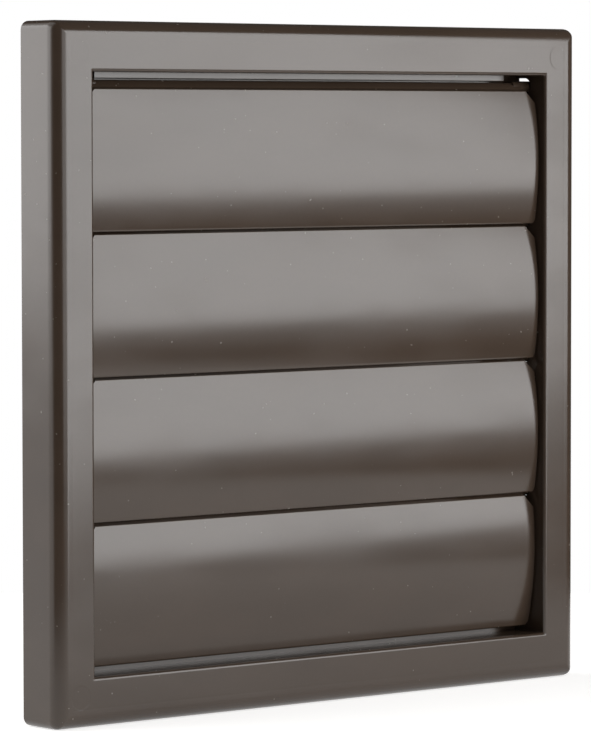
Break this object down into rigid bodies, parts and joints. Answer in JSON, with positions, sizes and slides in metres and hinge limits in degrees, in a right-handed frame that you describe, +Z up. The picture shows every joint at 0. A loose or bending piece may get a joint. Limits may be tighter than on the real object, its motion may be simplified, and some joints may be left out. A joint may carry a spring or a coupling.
{
  "type": "ventilation grille",
  "caption": "Square external wall grille with horizontal gravity flaps hung in a moulded frame, and a round spigot behind it for a duct.",
  "frame": {"origin": "centre of the wall plane, the plane of the skirt's rear edge, on the axis of the round spigot", "axes": "+Z up, +Y along the duct axis into the wall, the face looks along -Y, +X to the right seen from the front"},
  "size_m": [0.19, 0.0378, 0.19],
  "materials": {
    "frame_plastic": "dark brown moulded plastic, semi-gloss",
    "spigot_plastic": "dark brown moulded plastic, satin",
    "flap_plastic": "dark brown moulded plastic, semi-gloss",
    "zinc_steel": "bright zinc plating"
  },
  "bodies": {
    "frame": {"front_frame": "frame_plastic", "rear_spigot": "spigot_plastic", "frame_screw_1": "zinc_steel", "frame_screw_2": "zinc_steel", "frame_screw_3": "zinc_steel", "frame_screw_4": "zinc_steel"},
    "flap_1": {"flap_1": "flap_plastic"},
    "flap_2": {"flap_2": "flap_plastic"},
    "flap_3": {"flap_3": "flap_plastic"},
    "flap_4": {"flap_4": "flap_plastic"}
  },
  "joints": [
    {"name": "flap_1_hinge", "type": "hinge", "parent": "frame", "child": "flap_1", "pos_m": [0, -0.00695, 0.078], "axis": [-1, 0, 0], "range_deg": [0, 55]},
    {"name": "flap_2_hinge", "type": "hinge", "parent": "frame", "child": "flap_2", "pos_m": [0, -0.00695, 0.03877], "axis": [-1, 0, 0], "range_deg": [0, 55]},
    {"name": "flap_3_hinge", "type": "hinge", "parent": "frame", "child": "flap_3", "pos_m": [0, -0.00695, -0.00045], "axis": [-1, 0, 0], "range_deg": [0, 55]},
    {"name": "flap_4_hinge", "type": "hinge", "parent": "frame", "child": "flap_4", "pos_m": [0, -0.00695, -0.03968], "axis": [-1, 0, 0], "range_deg": [0, 55]}
  ],
  "couplings": [
    {"joint": "flap_2_hinge", "follows": "flap_1_hinge", "ratio": 1},
    {"joint": "flap_3_hinge", "follows": "flap_1_hinge", "ratio": 1},
    {"joint": "flap_4_hinge", "follows": "flap_1_hinge", "ratio": 1}
  ]
}
